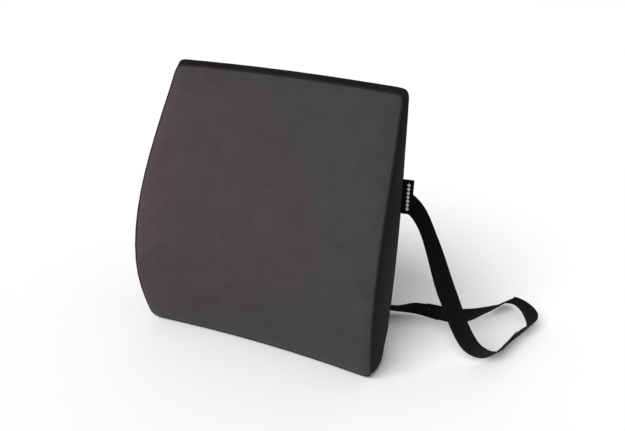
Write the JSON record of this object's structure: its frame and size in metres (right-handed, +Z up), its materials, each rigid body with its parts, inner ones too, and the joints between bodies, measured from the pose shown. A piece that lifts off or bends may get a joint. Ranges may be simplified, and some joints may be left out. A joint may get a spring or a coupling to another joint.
{
  "type": "lumbar support cushion",
  "caption": "Wedge-shaped lumbar cushion with a contoured, slightly hollow front, boxed sides, a zipped fabric cover and a strap that loops round a chair's backrest.",
  "frame": {"origin": "middle of the flat bottom face that the cushion stands on", "axes": "+Z up, -Y towards the sitter's back (the contoured front), +Y towards the chair (the flat back), +X the sitter's left"},
  "size_m": [0.5173, 0.282, 0.3258],
  "materials": {
    "foam": "soft open-cell foam, matt",
    "face_fabric": "soft brushed charcoal fabric with a faint nap",
    "band_fabric": "the same brushed fabric, darker",
    "seam_fabric": "turned fabric edge and sewing thread",
    "zip_tape": "woven polyester tape",
    "zip_nylon": "moulded nylon teeth",
    "zip_metal": "black lacquered metal",
    "label_tape": "smooth woven label tape",
    "webbing": "ribbed black webbing",
    "elastic": "ribbed black elastic",
    "thread": "polyester sewing thread"
  },
  "bodies": {
    "cushion": {"foam_core": "foam", "front_panel": "face_fabric", "side_band": "band_fabric", "base_band": "band_fabric", "back_panel": "face_fabric", "back_lower_strip": "face_fabric", "front_seam": "seam_fabric", "back_seam": "seam_fabric", "zip_tape_upper": "zip_tape", "zip_tape_lower": "zip_tape", "zip_coil_upper": "zip_nylon", "zip_coil_lower": "zip_nylon", "zip_stops": "zip_metal", "strap_end_right": "webbing", "strap_end_left": "webbing"},
    "strap": {"strap_right": "webbing", "strap_elastic": "elastic", "strap_left": "webbing", "lap_stitches": "thread"},
    "label": {"side_label": "label_tape"},
    "slider": {"zip_slider": "zip_metal"},
    "pull": {"zip_pull": "zip_metal"}
  },
  "joints": [
    {"name": "strap_swing", "type": "hinge", "parent": "cushion", "child": "strap", "pos_m": [0, 0.033, 0.201], "axis": [1, 0, 0], "range_deg": [0, 75]},
    {"name": "label_flap", "type": "hinge", "parent": "cushion", "child": "label", "pos_m": [0.14213, 0.0315, 0.2045], "axis": [0.0607, 0, -0.9982], "range_deg": [0, 75]},
    {"name": "zip_slide", "type": "slide", "parent": "cushion", "child": "slider", "axis": [-1, 0, 0], "range_m": [0, 0.238]},
    {"name": "pull_flip", "type": "hinge", "parent": "slider", "child": "pull", "pos_m": [0.1195, 0.03568, 0.02366], "axis": [0, -0.1159, -0.9933], "range_deg": [0, 170]}
  ]
}
